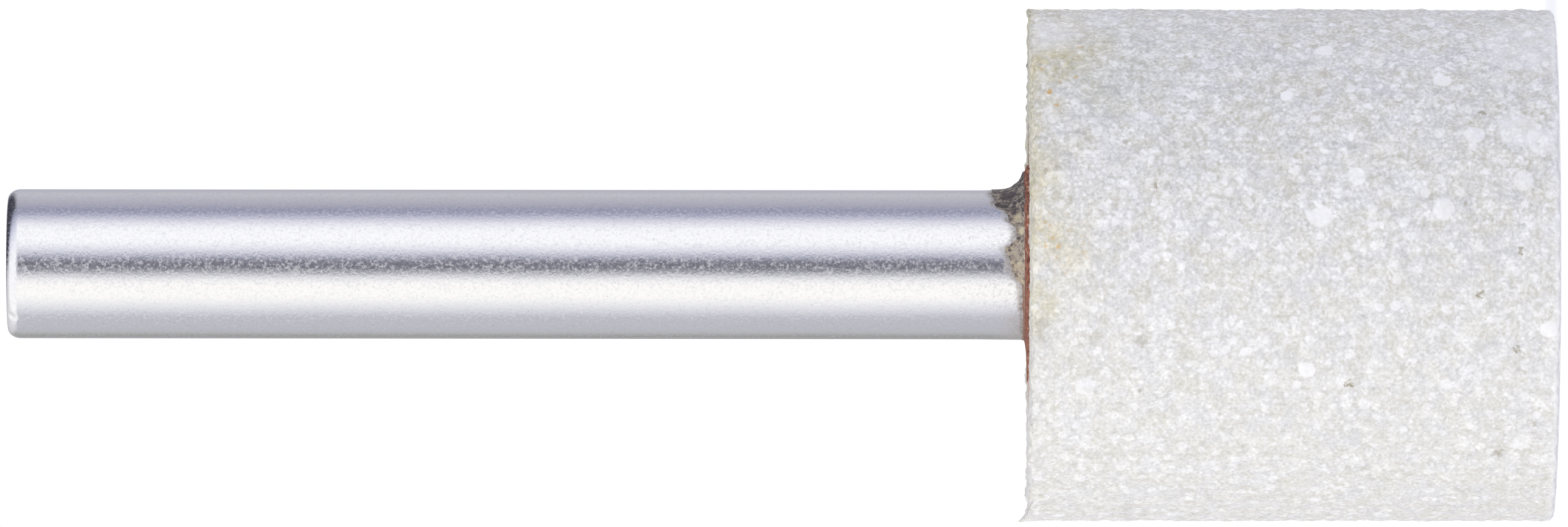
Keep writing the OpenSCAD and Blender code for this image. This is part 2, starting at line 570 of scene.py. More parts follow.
def head_profile(settings):
    """The head's outline from the front face to the mouth of the bore: radius, height and normal's tilt."""
    rim = settings.front_rim
    steps = 5
    outline = []
    for i in range(steps + 1):
        turn = math.radians(-90.0 + 90.0 * i / steps)
        outline.append((HEAD_R - rim + rim * math.cos(turn), rim + rim * math.sin(turn), turn))
    top = REAR_Z - settings.rear_rim
    rows = round((top - rim) / settings.cell)
    outline += [(HEAD_R, rim + (top - rim) * i / rows, 0.0) for i in range(1, rows + 1)]
    outer = HEAD_R - settings.rear_rim
    width = outer - settings.bore_radius
    rows = round(width / settings.cell)
    outline += [(outer - width * i / rows, REAR_Z, math.pi / 2.0) for i in range(rows + 1)]
    return np.array(outline)


def front_grid(radius, side):
    """A square grid of points laid out on a disc so that its edge points lie at even angles."""
    step = np.linspace(-1.0, 1.0, side + 1)
    a, b = np.meshgrid(step, step, indexing="ij")
    wide = np.abs(a) > np.abs(b)
    reach = np.where(wide, a, b)
    safe = np.where(reach == 0.0, 1.0, reach)
    angle = np.where(wide, math.pi / 4.0 * b / safe, math.pi / 2.0 - math.pi / 4.0 * a / safe)
    return polar(radius * reach, angle, 0.0)


def grid_edge(side):
    """Indices of the grid's edge points, in order of angle from -45 degrees."""
    width = side + 1
    right = [side * width + j for j in range(side)]
    upper = [i * width + side for i in range(side, 0, -1)]
    left = [j for j in range(side, 0, -1)]
    lower = [i * width for i in range(side)]
    return right + upper + left + lower


def head_faces(side, rings):
    """Faces of the front grid, of the rings from there to the bore's floor, and of that floor."""
    turns = 4 * side
    width = side + 1
    row, column = np.meshgrid(np.arange(side), np.arange(side), indexing="ij")
    corner = (row * width + column).ravel()
    faces = np.stack([corner, corner + 1, corner + width + 1, corner + width], axis=-1).tolist()
    edge = np.array(grid_edge(side))
    first = width * width
    here = np.arange(turns)
    there = (here + 1) % turns
    faces += np.stack([edge[here], edge[there], first + there, first + here], axis=-1).tolist()
    for i in range(rings - 1):
        faces += strip_faces(first + i * turns, first + (i + 1) * turns, turns)
    faces += fan_faces(first + rings * turns, first + (rings - 1) * turns, turns, True)
    return faces


def head_relief(points, settings):
    """Height of the coarse and of the fine grain as shares of the relief: lumps with creases between."""
    level = 0.3
    lumps = level - lumps_at(points, settings.lump_size) ** 2
    small = level - lumps_at(points, 0.6 * settings.lump_size) ** 2
    single = noise_at(points, settings.grain_size)
    broad = noise_at(points, 6.0 * settings.lump_size, shift=7.3)
    return 1.3 * lumps + 0.4 * broad, 0.9 * small + 0.4 * single


def big_grain_sites(settings):
    """Centres and radii of the large grains: those named above, and a random scatter round the head."""
    sites = [(facing(z, angle, HEAD_R), radius * MM) for z, angle, radius, _ in BIG_GRAINS]
    draw = np.random.default_rng(settings.seed)
    for _ in range(SIDE_GRAINS):
        height = draw.uniform(FRONT_BAND, REAR_Z / MM - REAR_BAND)
        angle = draw.uniform(-180.0, 180.0)
        radius = draw.uniform(*SIDE_GRAIN_RADII) * MM
        sites.append((facing(height, angle, HEAD_R), radius))
    for _ in range(FRONT_GRAINS):
        reach = HEAD_R * math.sqrt(draw.uniform(0.0, FRONT_SHARE))
        angle = draw.uniform(0.0, 2.0 * math.pi)
        radius = draw.uniform(*FRONT_GRAIN_RADII) * MM
        sites.append((Vector((reach * math.cos(angle), reach * math.sin(angle), 0.0)), radius))
    return sites


def head_lift(surface, normals, settings):
    """Height of the grain above the plain form, and the fine grain alone as shares of the relief."""
    coarse, rise = head_relief(surface, settings)
    lift = settings.relief * (coarse + rise - RELIEF_LEVEL)
    on_front = surface[:, 2] <= 0.0
    lift[on_front] = np.minimum(lift[on_front], 0.0)
    big = np.zeros(len(surface))
    tree = kdtree.KDTree(len(surface))
    for i, point in enumerate(surface.tolist()):
        tree.insert(point, i)
    tree.balance()
    for centre, radius in big_grain_sites(settings):
        for _, i, gap in tree.find_range(centre, radius):
            dome = 1.0 - (gap / radius) ** 2
            big[i] = max(big[i], dome)
    lift = np.where(on_front, lift, lift + BIG_GRAIN_RISE * settings.relief * big)
    on_rear = normals[:, 2] > 0.0
    open_grain = REAR_DEPTH * lift[on_rear] - REAR_DROP * settings.relief
    lift[on_rear] = np.minimum(open_grain, REAR_TOP * settings.relief)
    return lift, rise


def chip_rims(points, surface, settings):
    """Breaks chips out of both rims, and lets nothing stand below the front face."""
    inwards = HEAD_R - np.hypot(surface[:, 0], surface[:, 1])
    rear_gap = np.hypot(inwards, REAR_Z - surface[:, 2])
    front_gap = np.hypot(inwards, surface[:, 2])
    broken = noise_at(surface, CHIP_SIZE, shift=4.1) + 0.9 * noise_at(surface, SMALL_CHIP_SIZE, shift=9.7)
    rear = smooth_step(1.0 - rear_gap / CHIP_REACH) * np.clip(0.2 + broken, -0.5, 1.0)
    front = smooth_step(1.0 - front_gap / CHIP_REACH) * np.clip(broken, 0.0, 1.0)
    points[:, 2] += settings.chip * (FRONT_CHIP_DEPTH * front - rear)
    inset = CHIP_INSET * settings.chip / HEAD_R
    points[:, :2] *= 1.0 - inset * (rear + FRONT_CHIP_INSET * front)[:, None]
    points[:, 2] = np.maximum(points[:, 2], 0.0)


def lift_flake(points, surface):
    """Bends up the flake at the rear edge."""
    centre = np.array(facing(REAR_Z / MM, FLAKE_ANGLE, HEAD_R))
    share = np.clip(1.0 - np.linalg.norm(surface - centre, axis=1) / FLAKE_REACH, 0.0, 1.0)
    points[:, 2] += FLAKE_RISE * share
    points[:, 0] -= FLAKE_SHIFT * share


def grain_layer(s, place, size_mm, cover):
    """Round grains of one size with soft borders: up to 1 on a grain and 0 beside it."""
    cells = s.cells(place, 1.0 / size_mm)
    dome = s.span(cells.outputs["Distance"], 0.26, 0.6, 1.0, 0.0)
    return s.times(dome, s.span(s.draw(cells), 1.0 - cover, 1.0))


def head_grain(s, place, settings):
    """Colour of the grain and its bond, with painted shade in the creases and painted light on the crests,
    grain contrast raised towards +X as painted relief shading, and a painted highlight along the front rim;
    and the height of the grains for the bump.
    """
    axis = s.axis(place)
    bent = s.warp(place, 2.4, 0.1)
    size = settings.grain_size / MM
    grains = 0.0
    for spacing, cover, weight in GRAIN_LAYERS:
        grains = s.plus(grains, s.times(grain_layer(s, bent, spacing * size, cover), weight))
    pits = grain_layer(s, s.warp(place, 6.0, 0.12), 1.2 * size, 0.5)
    dust = s.span(s.noise(place, 1.3 / size, 2.0, 0.6), 0.25, 0.75, -0.5, 0.5)
    clumps = s.sway(place, 1.5, 0.5)
    # Painted shade and light: darker where the fine grain's height is low, lighter where it is high.
    painted_crest_shade = s.span(s.values("rise"), -0.6, 0.6, -0.14, 0.14)
    loose = s.plus(s.times(dust, 0.55), s.times(clumps, 0.2))
    loose = s.minus(loose, s.times(pits, 0.3))
    # Painted relief shading: the grain's contrast is raised towards +X, the side that the lamps light least,
    # and lowered towards -X.
    painted_relief_contrast = s.span(axis["X"], -9.0, 9.0, 0.8, 1.2)
    white = s.plus(s.minus(grains, 0.22), s.plus(painted_crest_shade, loose))
    white = s.plus(s.times(white, painted_relief_contrast), 0.5)
    tint = s.span(s.noise(place, 0.9, 3.0, 0.7), 0.35, 0.65)
    bond = s.mix(tint, settings.gap, settings.cool_gap)
    base = s.mix(s.span(white, -0.45, 1.35), bond, settings.grain)

    single = s.cells(bent, 1.7)
    reach = s.span(s.draw(single), 0.72, 1.0, -0.05, 0.42)
    clear = s.span(s.minus(reach, single.outputs["Distance"]), -0.03, 0.09, 0.0, 0.5)
    base = s.mix(clear, base, settings.big_grain_and_rim_light)
    # Painted light: the front rim is lightened towards the big grains' colour, where its rounding faces the
    # floor and lies in shade.
    front = s.span(axis["Z"], 0.05, 0.4, 0.6, 0.0)
    base = s.mix(front, base, settings.big_grain_and_rim_light)
    return base, s.plus(grains, s.times(dust, 0.2))


def soaked_rear(s, base, place, spot, settings):
    """Tints the rear rim with soaked-in resin and a grey-green line of painted shade along its edge, and the
    rear face beside the film with soaked-in cement and painted contact shade.
    """
    axis = s.axis(place)
    depth = s.minus(REAR_Z / MM, axis["Z"])
    out = s.off_axis(axis)
    by_rim = s.span(out, HEAD_R / MM - 4.0, HEAD_R / MM - 0.3, 0.55, 1.0)
    # side weights the resin stain and the painted rim shade towards +X, the side that the lamps light least,
    # and keeps them weak on the lit -X side.
    side = s.times(s.span(axis["X"], -7.0, 5.0, 0.12, 1.0), by_rim)
    patch = s.span(s.noise(place, 0.5, 3.0, 0.6), 0.36, 0.62)
    stained = s.times(s.times(s.span(depth, 0.2, 3.6, 1.0, 0.0), side), patch)
    ragged = s.plus(depth, s.sway(spot, 2.6, 0.25, 3.0, 0.6))
    rim = s.times(s.span(ragged, 0.1, 0.8, 0.6, 0.0), side)
    cover = s.most(s.times(stained, 0.5), rim)
    base = s.mix(cover, base, settings.stain, "MULTIPLY")
    # Painted shade: a grey-green line along the rear rim's edge, strongest on the +X side.
    painted_rim_shade = s.span(s.plus(depth, s.sway(spot, 2.0, 0.1)), 0.1, 0.22, 0.6, 0.0)
    base = s.mix(s.times(painted_rim_shade, side), base, settings.rim, "MULTIPLY")
    # Soaked-in cement and painted contact shade on the rear face beside the film.
    beside = s.span(s.plus(out, s.sway(spot, 1.5, 0.6, 3.0)), 4.2, 6.8, 0.8, 0.0)
    beside = s.times(beside, s.span(depth, 0.15, 0.4, 1.0, 0.0))
    return s.mix(beside, base, settings.soak_and_contact_shade, "MULTIPLY")


def head_spots(s, base, place, spot, settings):
    """Adds pores, rust dots, large grains and the marks named above, among them the rim mark's painted shade,
    and tells where the large grains are.
    """
    torn = s.warp(place, 5.0, 0.3)
    blob = s.warp(place, 1.1, 0.22)
    flecks = s.specks(place, 0.8, over=0.93, core=0.05, reach=0.12, strength=0.55)
    base = s.mix(flecks, base, settings.pore)
    dots = s.specks(torn, 3.4, over=0.68, core=0.05, reach=0.4, strength=0.5)
    by_joint = s.near(spot, facing(RUST_HEIGHT, RUST_ANGLE, HEAD_R) / MM, RUST_REACH, 0.2)
    base = s.mix(s.times(dots, by_joint), base, settings.rust)
    smooth = 0.0
    for height, angle, radius, strength in BIG_GRAINS:
        mark = s.near(blob, facing(height, angle, HEAD_R) / MM, radius, 0.75)
        smooth = s.most(smooth, mark)
        base = s.mix(s.times(mark, strength), base, settings.big_grain_and_rim_light)
    soak_up = s.span(s.noise(spot, 1.8, 4.0, 0.7), 0.38, 0.6, 0.25, 1.3)
    fields = {"pore": torn, "rust": blob}
    for kind, height, angle, radius, strength in HEAD_MARKS:
        # Stain marks tint with resin; the rim mark tints with painted shade.
        tints = kind in ("stain", "rim")
        core = 0.1 if tints else 0.35
        mark = s.near(fields.get(kind, spot), facing(height, angle, HEAD_R) / MM, radius, core)
        mark = s.times(mark, strength)
        if tints:
            mark = s.times(mark, soak_up)
        base = s.mix(mark, base, getattr(settings, kind), "MULTIPLY" if tints else "MIX")
    return base, smooth


def head_material(settings):
    """Bonded white grain of many sizes in a grey-green bond, with large grains, pores, stains and rust, and
    painted light and shade on the grain, along the front rim and along the rear rim.
    """
    material, s = new_material("white_abrasive")
    place = s.millimetres()
    spot = s.warp(place, 3.2, 0.12)
    base, height = head_grain(s, place, settings)
    base = soaked_rear(s, base, place, spot, settings)
    base, smooth = head_spots(s, base, place, spot, settings)
    normal = s.bump(s.times(height, s.minus(1.0, smooth)), 0.04, 0.8)
    close_material(s, Base_Color=base, Roughness=0.8, Specular_IOR_Level=0.3, Normal=normal)
    return material


def build_head(settings):
    """The abrasive head with its grain, as one closed mesh."""
    side = round(2.0 * math.pi * HEAD_R / settings.cell / 4.0)
    turns = 4 * side
    angles = round_angles(turns, -math.pi / 4.0)
    grid = front_grid(HEAD_R - settings.front_rim, side).reshape(-1, 3)
    profile = head_profile(settings)[1:]
    rings = polar(profile[:, 0:1], angles, profile[:, 1:2])
    tilt = profile[:, 2:3]
    ring_normals = polar(np.cos(tilt), angles, np.sin(tilt))
    surface = np.concatenate([grid, rings.reshape(-1, 3)])
    down = np.tile([0.0, 0.0, -1.0], (len(grid), 1))
    normals = np.concatenate([down, ring_normals.reshape(-1, 3)])

    lift, rise = head_lift(surface, normals, settings)
    points = surface + normals * lift[:, None]
    chip_rims(points, surface, settings)
    lift_flake(points, surface)
    bore = polar(settings.bore_radius, angles, CEMENT_LOW.z)
    points = np.concatenate([points, bore, [[0.0, 0.0, CEMENT_LOW.z]]])
    rise = np.concatenate([rise, np.zeros(turns + 1)])
    faces = head_faces(side, len(profile) + 1)
    head = mesh_object("grinding_head", points, faces, head_material(settings))
    # The material reads the fine grain's height to paint shade in the creases and light on the crests.
    add_values(head, "rise", rise)
    return head


# Shank

# Points round the shank for each groove of the knurl, and length of the step at the knurl's upper end
GROOVE_POINTS = 12
KNURL_STEP = 0.02 * MM
# Dent in the free end's edge: distance below the end in mm, angle, inset, reach, and depth as a share
DENT_BELOW = 0.2
DENT_ANGLE = 46.6
DENT_INSET = 0.1 * MM
DENT_REACH = 0.3 * MM
DENT_DEPTH = 0.022
# Rings on the flat of the free end, as shares of its radius
END_RINGS = (0.97, 0.9, 0.6, 0.3)
# Turning marks on the flat of the free end: radians to the millimetre, and depth in mm that they show to
TURNING_MARKS = 60.0
TURNING_DEPTH = 0.03
# Faint haze on the collar's low side: strength, and its start and its way to full strength in shank radii
LOW_HAZE = 0.5
LOW_HAZE_START = 0.5
LOW_HAZE_RAMP = 0.3


def shank_angles(settings):
    """Angles round the shank, the same for each ring of the shank and of the cement round it."""
    return round_angles(settings.knurl_count * GROOVE_POINTS)


def knurl_radius(angles, settings):
    """Radius of the knurled end round the shank."""
    pitch = 2.0 * math.pi / settings.knurl_count
    off = np.abs((angles / pitch) % 1.0 - 0.5) * pitch * STOCK_R
    return STOCK_R - np.maximum(settings.knurl_depth - off, 0.0)


def seat_rows(angles, settings):
    """Rings of the shank's seated end, from its flat end up to the rear face of the head."""
    low = SHANK_LOW.z
    stop = REAR_Z - settings.knurl_inset
    knurl = knurl_radius(angles, settings)
    end = np.minimum(knurl, STOCK_R - settings.seat_chamfer)
    return [
        polar(end, angles, low),
        polar(knurl, angles, low + settings.seat_chamfer),
        polar(knurl, angles, stop),
        polar(STOCK_R, angles, stop + KNURL_STEP),
        polar(STOCK_R, angles, REAR_Z),
    ]


def shank_material(settings):
    """Satin steel with fine pits, a faint waviness, cement haze beside the joint and a turned end."""
    material, s = new_material("satin_steel")
    place = s.millimetres()
    axis = s.axis(place)
    pits = s.specks(s.warp(place, 9.0, 0.05), 2.6, over=0.5, core=0.04, reach=0.16, strength=0.25)
    stipple = s.span(s.noise(place, 8.0, 3.0, 0.7), 0.5, 0.85, 0.0, 0.35)
    base = s.mix(s.most(pits, stipple), settings.steel, settings.pit)
    matt = s.noise(s.warp(place, 6.0, 0.06), 8.5, 2.0, 0.6)
    rough = s.span(matt, 0.34, 0.8, settings.roughness, 4.6 * settings.roughness)

    patch = s.span(s.noise(place, 5.0, 3.0, 0.6), 0.35, 0.65, 0.4, 1.0)
    haze = s.times(s.values("smear"), patch)
    base = s.mix(haze, base, settings.haze)
    bare = s.minus(1.0, haze)
    rough = s.plus(rough, s.times(haze, 0.4))

    wave = s.noise(place, 0.28, 1.0)
    grit = s.noise(s.warp(place, 4.0, 0.08), 7.5, 2.0, 0.6)
    dents = s.cells(s.warp(place, 9.0, 0.07), 9.5)
    depth = s.span(s.draw(dents, "Green"), 0.2, 1.0, 0.0, -1.0)
    dent = s.times(depth, s.span(dents.outputs["Distance"], 0.0, 0.7, 1.0, 0.0))
    rings = s.math("SINE", s.times(s.off_axis(axis), TURNING_MARKS))
    at_end = s.span(axis["Z"], SHANK_HIGH.z / MM - TURNING_DEPTH, SHANK_HIGH.z / MM - 0.005)
    turned = s.times(rings, at_end)
    normal = s.bump(wave, 0.05, 0.6)
    normal = s.bump(grit, 0.006, 0.7, normal)
    normal = s.bump(dent, 0.003, 0.7, normal)
    normal = s.bump(turned, 0.004, 0.6, normal)
    close_material(s, Base_Color=base, Metallic=bare, Roughness=rough, Normal=normal)
    return material


def shank_haze(rows, angles, settings, collar):
    """Strength of the cement haze on the steel, strongest along the collar's edge."""
    above = rows[..., 2] - REAR_Z - collar_edge(angles, collar)
    smear = smooth_step(1.0 - above / settings.haze_reach)
    low_side = smooth_step((-rows[..., 0] / STOCK_R - LOW_HAZE_START) / LOW_HAZE_RAMP)
    return np.maximum(smear, LOW_HAZE * low_side * smooth_step(1.0 - above / settings.low_haze_reach))


def build_shank(settings, collar):
    """The steel shank, knurled where the head hides it and rounded at its free end."""
    angles = shank_angles(settings)
    rows = seat_rows(angles, settings)
    steps = 40
    for i in range(1, steps):
        share = i / steps
        reach = STOCK_R + (GROUND_R - STOCK_R) * share
        rows.append(polar(reach, angles, REAR_Z + settings.runout * share))
    ground_z = REAR_Z + settings.runout
    top = SHANK_HIGH.z - settings.end_length
    for height in np.linspace(ground_z, top, steps):
        rows.append(polar(GROUND_R, angles, height))
    steps = 14
    for i in range(1, steps + 1):
        turn = math.pi / 2.0 * i / steps
        reach = GROUND_R - settings.end_round * (1.0 - math.cos(turn))
        rows.append(polar(reach, angles, top + settings.end_length * math.sin(turn)))
    for share in END_RINGS:
        rows.append(polar((GROUND_R - settings.end_round) * share, angles, SHANK_HIGH.z))
    rows = np.array(rows)

    dent = np.array(facing(SHANK_HIGH.z / MM - DENT_BELOW, DENT_ANGLE, GROUND_R - DENT_INSET))
    gap = np.linalg.norm(rows - dent, axis=-1)
    rows[..., :2] *= (1.0 - DENT_DEPTH * smooth_step(1.0 - gap / DENT_REACH))[..., None]
    ends = ((0.0, 0.0, SHANK_LOW.z), (0.0, 0.0, SHANK_HIGH.z))
    shank = lathe_object("steel_shank", rows, *ends, shank_material(settings))
    smear = shank_haze(rows, angles, settings, collar)
    add_values(shank, "smear", np.concatenate([smear.ravel(), np.zeros(len(ends))]))
    return shank


# Cement and collar

# Film on the rear face: mean share of its full thickness, roughness, and least and greatest share
FILM_LEVEL = 0.62
FILM_ROUGH = 0.5
FILM_RANGE = (0.35, 1.0)


def cement_material(settings):
    """Dry red-brown cement with dark patches and pale specks."""
    material, s = new_material("red_brown_cement")
    place = s.millimetres()
    patch = s.span(s.noise(place, 4.0, 4.0, 0.7), 0.36, 0.6)
    base = s.mix(patch, settings.dark, settings.light)
    specks = s.specks(s.warp(place, 8.0, 0.06), 6.0, over=0.6, core=0.15, reach=0.5, strength=0.85)
    base = s.mix(specks, base, settings.speck)
    normal = s.bump(s.noise(place, 9.0, 3.0, 0.65), 0.05, 0.8)
    close_material(s, Base_Color=base, Roughness=0.8, Specular_IOR_Level=0.3, Normal=normal)
    return material


def build_cement(settings, shank):
    """The cement: a sleeve and plug in the bore, and a thin uneven film on the rear face."""
    angles = shank_angles(shank)
    bore_r = bpy.context.scene.mounted_point.head.bore_radius
    circle = polar(1.0, angles, 0.0)
    ripple = noise_at(circle, 0.35) + 0.6 * noise_at(circle, 0.12, shift=3.1)
    reach = settings.film_reach + settings.film_ripple * ripple
    shift = np.array([-settings.film_shift, 0.0, 0.0])
    film_t = CEMENT_HIGH.z - REAR_Z
    sunk = REAR_Z - settings.film_sink
    rows = [
        polar(bore_r, angles, CEMENT_LOW.z),
        polar(bore_r, angles, sunk),
        polar(reach, angles, sunk) + shift,
    ]
    outer = polar(reach, angles, 0.0) + shift
    inner = polar(STOCK_R, angles, 0.0)
    blunt = smooth_step(1.0 + 1.2 * np.cos(angles))
    edge = settings.film_edge - settings.film_fade * (1.0 - blunt)
    steps = 10
    for i in range(steps + 1):
        share = i / steps
        plan = outer * (1.0 - share) + inner * share
        rough = noise_at(plan, 0.35 * MM, shift=1.7) + 0.5 * noise_at(plan, 0.15 * MM, shift=5.2)
        rise = blunt * smooth_step(3.0 * share) + (1.0 - blunt) * share**3
        thick = edge + (film_t - edge) * rise
        plan[:, 2] = REAR_Z + thick * np.clip(FILM_LEVEL + FILM_ROUGH * rough * (1.0 - share), *FILM_RANGE)
        rows.append(plan)
    rows += seat_rows(angles, shank)[::-1]
    ends = ((0.0, 0.0, CEMENT_LOW.z), (0.0, 0.0, SHANK_LOW.z))
    return lathe_object("joint_cement", np.array(rows), *ends, cement_material(settings))


# Upper edge of the collar: angle from +X towards the camera's side, and height above the rear face in mm
COLLAR_EDGE = (
    (0, 1.4),
    (22, 1.37),
    (36, 1.28),
    (41, 1.12),
    (44, 0.8),
    (54, 0.72),
    (58, 0.47),
    (66, 0.41),
    (70, 0.47),
    (74, 0.68),
    (77, 0.88),
    (80, 0.86),
    (84, 0.74),
    (94, 0.58),
    (101, 0.42),
    (104, 0.22),
    (116, 0.16),
    (124, 0.19),
    (130, 0.15),
    (180, 0.16),
    (215, 0.18),
    (240, 0.4),
    (262, 0.75),
    (280, 0.6),
    (305, 0.85),
    (330, 1.25),
    (360, 1.4),
)
# Marks on the collar: kind, height above the rear face in mm, angle as above, radius in mm and strength
COLLAR_MARKS = (
    ("dark", 0.8, 27.0, 0.42, 0.8),
    ("dark", 0.45, 24.0, 0.4, 0.5),
    ("dark", 0.7, 45.0, 0.12, 0.7),
    ("dark", 0.2, 125.0, 0.2, 0.6),
    ("dark", 0.5, 97.0, 0.2, 0.4),
    ("cream", 0.2, 64.0, 0.22, 0.9),
    ("cream", 0.35, 52.0, 0.3, 0.65),
    ("cream", 0.28, 91.0, 0.3, 0.4),
    ("cream", 0.3, 102.0, 0.25, 0.4),
)
# Distance of the marks' centres from the shank
MARK_OFFSET = 0.1 * MM
# Bead: depth of its foot in the film, least height, least thickness, and depth of its inside in the shank
BEAD_SINK = 0.11 * MM
BEAD_LEAST = 0.08 * MM
BEAD_THIN = 0.012 * MM
BEAD_INSIDE = 0.06 * MM
# Points round the bead, powers that draw its tall side together and hollow its fillet, and its roughness
BEAD_TURNS = 480
BEAD_LEAN = 1.2
BEAD_HOLLOW = 3.5
BEAD_ROUGH = 0.9


def collar_material(settings):
    """Grey-brown dried cement with dark smears, darkest on the tall side, and cream bits."""
    material, s = new_material("grey_brown_cement")
    place = s.millimetres()
    across = s.axis(place)["X"]
    spot = s.warp(place, 6.0, 0.08)
    tall = s.span(across, 1.6, 2.3, 0.0, 0.1)
    smear = s.span(s.plus(s.noise(spot, 4.5, 4.0, 0.75), tall), 0.42, 0.68)
    base = s.mix(smear, settings.body, settings.dark)
    bits = s.span(s.minus(s.noise(place, 6.5, 4.0, 0.75), tall), 0.5, 0.66)
    base = s.mix(s.times(bits, 0.75), base, settings.cream)
    specks = s.specks(place, 7.0, over=0.75, core=0.15, reach=0.45, strength=0.4)
    base = s.mix(specks, base, settings.dark)
    for kind, height, angle, radius, strength in COLLAR_MARKS:
        centre = facing(REAR_Z / MM + height, angle - 90.0, STOCK_R + MARK_OFFSET) / MM
        mark = s.times(s.near(spot, centre, radius, 0.3), strength)
        base = s.mix(mark, base, getattr(settings, kind))
    low_side = s.span(across, -1.5, -0.4, 0.8, 0.0)
    base = s.mix(low_side, base, settings.thin)
    normal = s.bump(s.noise(place, 8.0, 3.0, 0.65), 0.05, 0.8)
    close_material(s, Base_Color=base, Roughness=0.6, Specular_IOR_Level=0.4, Normal=normal)
    return material


def collar_edge(angles, settings):
    """Height of the collar's upper edge above the rear face at each angle."""
    seen = np.degrees(-angles) % 360.0
    knots = np.array(COLLAR_EDGE)
    edge = np.interp(seen, knots[:, 0], knots[:, 1])
    circle = polar(1.0, angles, 0.0)
    runs = noise_at(circle, 0.13) + 0.35 * noise_at(circle, 0.05, shift=4.4)
    return edge * MM + settings.ripple * runs * np.minimum(edge, 1.0)


def build_collar(settings):
    """The squeezed-out bead round the shank: a hollow fillet, high on one side and low on the other."""
    angles = round_angles(BEAD_TURNS)
    base = COLLAR_LOW.z - BEAD_SINK
    height = np.maximum(collar_edge(angles, settings) + REAR_Z - base, BEAD_LEAST)
    tall = ((1.0 + np.cos(angles)) / 2.0) ** BEAD_LEAN
    foot = settings.foot_low + (settings.foot_tall - settings.foot_low) * tall
    inside = STOCK_R - BEAD_INSIDE
    rows = [polar(inside, angles, base + height), polar(inside, angles, base)]
    steps = 12
    for i in range(steps + 1):
        share = i / steps
        thick = settings.lip + (foot - settings.lip) * (1.0 - share) ** BEAD_HOLLOW
        ring = polar(STOCK_R + thick, angles, base + height * share)
        rough = noise_at(ring, 0.3 * MM) + 0.6 * noise_at(ring, 0.13 * MM, shift=2.2)
        swell = 1.0 + BEAD_ROUGH * rough * np.minimum(thick / foot, 1.0) * (share > 0)
        rows.append(polar(STOCK_R + np.maximum(thick * swell, BEAD_THIN), angles, ring[:, 2]))
    return loop_object("cement_bead", np.array(rows), collar_material(settings))


# Stage

# Light tent: azimuth from the camera's side towards -X in degrees, and colour of the wall there
TENT_STOPS = (
    (-180, (0.48, 0.48, 0.56)),
    (-152, (0.54, 0.54, 0.60)),
    (-137, (0.65, 0.65, 0.69)),
    (-108, (0.52, 0.52, 0.59)),
    (-91, (0.33, 0.34, 0.46)),
    (-82, (0.46, 0.47, 0.60)),
    (-68, (0.92, 0.92, 0.99)),
    (-56, (1.18, 1.18, 1.18)),
    (-36, (1.22, 1.22, 1.21)),
    (-24, (1.0, 1.01, 1.05)),
    (-15, (0.66, 0.67, 0.77)),
    (-9, (0.42, 0.43, 0.52)),
    (-6, (0.25, 0.25, 0.30)),
    (4, (0.19, 0.19, 0.22)),
    (9, (0.34, 0.33, 0.37)),
    (13, (0.49, 0.49, 0.53)),
    (18, (0.80, 0.80, 0.83)),
    (23, (1.04, 1.04, 1.04)),
    (30, (1.23, 1.21, 1.15)),
    (52, (1.24, 1.22, 1.15)),
    (64, (1.05, 1.05, 1.05)),
    (76, (0.85, 0.85, 0.89)),
    (90, (0.62, 0.62, 0.67)),
    (112, (0.61, 0.61, 0.65)),
    (130, (0.58, 0.58, 0.61)),
    (148, (0.37, 0.37, 0.34)),
    (180, (0.48, 0.48, 0.56)),
)
# Upper wall and edge of the tent's lid, which the rounded end of the shank reflects, and the lid's middle
LID_STOPS = (
    (-180, (0.06, 0.06, 0.08)),
    (-105, (0.06, 0.06, 0.08)),
    (-85, (0.45, 0.47, 0.62)),
    (-50, (0.95, 0.96, 1.05)),
    (-20, (1.15, 1.15, 1.17)),
    (90, (1.20, 1.20, 1.18)),
    (130, (0.85, 0.85, 0.85)),
    (172, (0.70, 0.70, 0.72)),
    (180, (0.06, 0.06, 0.08)),
)
LID_CENTRE = (0.70, 0.70, 0.74)
# Heights where the wall ends, where the upper wall starts and where the lid lies, in tent radii
WALL_TOP = 0.35
UPPER_START = 0.55
LID_HEIGHT = 3.5

# Softboxes: edge length and distance in metres, and rise of the front pair and of the high one in distances
BOX_SIZE = 0.35
BOX_DISTANCE = 0.5
BOX_RISE = 0.12
HIGH_BOX_RISE = 1.6

WHITE = (1.0, 1.0, 1.0)
# Floor: its paint, and the glow that lifts it to white for the camera
FLOOR_PAINT = (0.93, 0.93, 0.93)
FLOOR_GLOW = 0.21


def build_camera(settings):
    """The camera, level with the part and turned so that the shank lies to the left."""
    lens = bpy.data.cameras.new("camera")
    lens.sensor_width = 36.0
    lens.lens = lens.sensor_width * settings.distance / settings.view_width
    lens.clip_start = 0.01
    lens.clip_end = 10.0
    camera = bpy.data.objects.new("camera", lens)
    bpy.context.scene.collection.objects.link(camera)
    axes = Matrix(((0, 1, 0), (0, 0, -1), (-1, 0, 0))).to_4x4()
    place = Matrix.Translation((settings.centre_x, -settings.distance, settings.centre_z))
    camera.rotation_mode = "QUATERNION"
    camera.matrix_world = place @ axes @ Matrix.Rotation(settings.roll, 4, "Z")
    bpy.context.scene.camera = camera


def build_softbox(name, azimuth, rise, power, tint):
    """A square softbox beside the part, at an azimuth from the camera's side towards -X and a rise."""
    lamp = bpy.data.lights.new(name, "AREA")
    lamp.size = BOX_SIZE
    lamp.energy = power
    lamp.color = tint
    box = bpy.data.objects.new(name, lamp)
    bpy.context.scene.collection.objects.link(box)
    centre = Vector((0.0, 0.0, SHANK_HIGH.z / 2.0))
    turn = math.radians(azimuth)
    box.location = centre + BOX_DISTANCE * Vector((-math.sin(turn), -math.cos(turn), rise))
    box.rotation_euler = (centre - box.location).to_track_quat("-Z", "Y").to_euler()
    box.visible_camera = False
    box.visible_glossy = False


